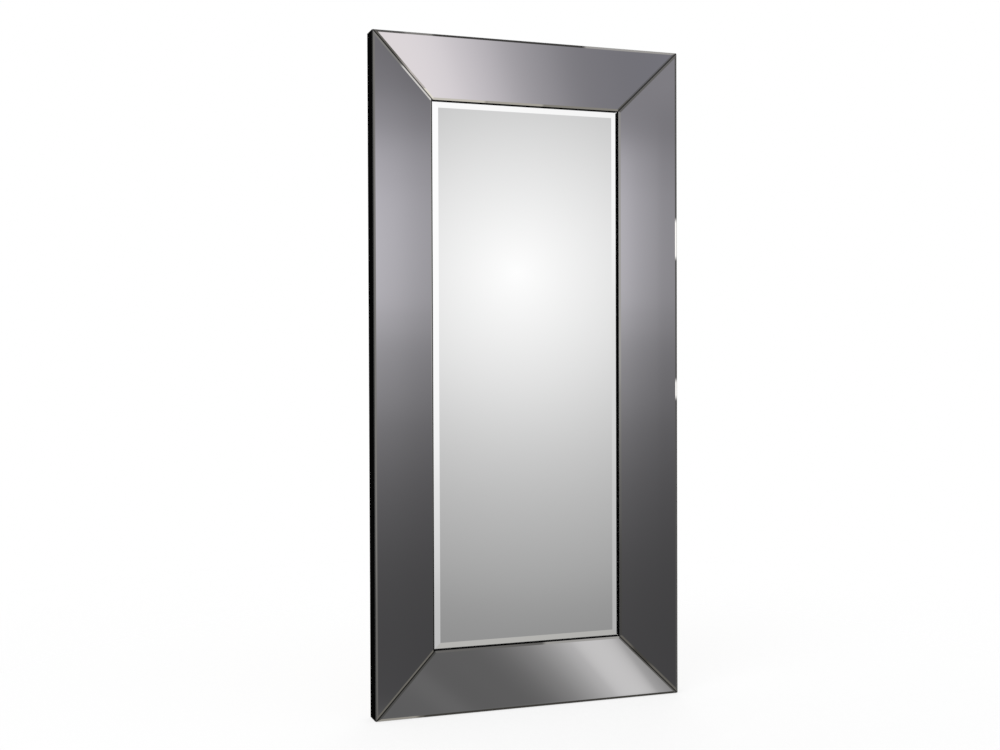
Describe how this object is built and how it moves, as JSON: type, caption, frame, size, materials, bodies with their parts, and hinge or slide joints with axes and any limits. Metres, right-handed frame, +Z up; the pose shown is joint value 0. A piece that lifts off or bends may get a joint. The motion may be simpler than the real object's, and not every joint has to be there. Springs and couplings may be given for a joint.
{
  "type": "full-length mirror",
  "caption": "Tall bevelled mirror set back in a wide concave frame of grey mirror glass, with floor pads and folding ring hangers for hanging upright or sideways.",
  "frame": {"origin": "bottom centre of the whole mirror, on the floor that its pads stand on", "axes": "+X to the right seen from the front, +Y from the front to the back, +Z up"},
  "size_m": [0.85, 0.0626, 1.75],
  "materials": {
    "clear_mirror": "polished, silvered behind, wide bevel",
    "grey_mirror": "polished grey glass, silvered behind, narrow bevel",
    "black_lacquer": "black satin lacquer on fibreboard",
    "batten_wood": "planed softwood",
    "raw_board": "raw fibreboard",
    "back_board": "hardboard, smooth side out",
    "mounting_tape": "white foam tape",
    "setting_plastic": "moulded",
    "foam": "soft closed-cell foam",
    "screw_steel": "zinc plated",
    "hanger_steel": "nickel plated",
    "bumper_rubber": "matt",
    "pad_rubber": "matt"
  },
  "bodies": {
    "frame": {"mirror_plate": "clear_mirror", "panel_left": "grey_mirror", "panel_right": "grey_mirror", "panel_top": "grey_mirror", "panel_bottom": "grey_mirror", "side_left": "black_lacquer", "side_right": "black_lacquer", "side_top": "black_lacquer", "side_bottom": "black_lacquer", "face_board_left": "black_lacquer", "face_board_right": "black_lacquer", "face_board_top": "black_lacquer", "face_board_bottom": "black_lacquer", "batten_left": "batten_wood", "batten_right": "batten_wood", "batten_top": "batten_wood", "batten_bottom": "batten_wood", "ribs_left": "raw_board", "ribs_right": "raw_board", "ribs_top": "raw_board", "ribs_bottom": "raw_board", "corner_blocks": "raw_board", "mirror_backer": "raw_board", "back_board": "back_board", "panel_tapes": "mounting_tape", "mirror_tapes": "mounting_tape", "setting_blocks": "setting_plastic", "backer_foam": "foam", "edge_screws": "screw_steel", "batten_screws": "screw_steel", "hanger_screws": "screw_steel", "strap_upper_left": "hanger_steel", "strap_upper_right": "hanger_steel", "strap_side_upper": "hanger_steel", "strap_side_lower": "hanger_steel", "wall_bumpers": "bumper_rubber", "floor_pads": "pad_rubber"},
    "ring_upper_left": {"ring_upper_left": "hanger_steel"},
    "ring_upper_right": {"ring_upper_right": "hanger_steel"},
    "ring_side_upper": {"ring_side_upper": "hanger_steel"},
    "ring_side_lower": {"ring_side_lower": "hanger_steel"}
  },
  "joints": [
    {"name": "ring_upper_left_pivot", "type": "hinge", "parent": "frame", "child": "ring_upper_left", "pos_m": [-0.34975, 0.02764, 1.4948], "axis": [1, 0, 0], "range_deg": [0, 180]},
    {"name": "ring_upper_right_pivot", "type": "hinge", "parent": "frame", "child": "ring_upper_right", "pos_m": [0.34975, 0.02764, 1.4948], "axis": [1, 0, 0], "range_deg": [0, 180]},
    {"name": "ring_side_upper_pivot", "type": "hinge", "parent": "frame", "child": "ring_side_upper", "pos_m": [-0.39455, 0.02764, 1.176], "axis": [0, 0, 1], "range_deg": [0, 180]},
    {"name": "ring_side_lower_pivot", "type": "hinge", "parent": "frame", "child": "ring_side_lower", "pos_m": [-0.39455, 0.02764, 0.576], "axis": [0, 0, 1], "range_deg": [0, 180]}
  ]
}
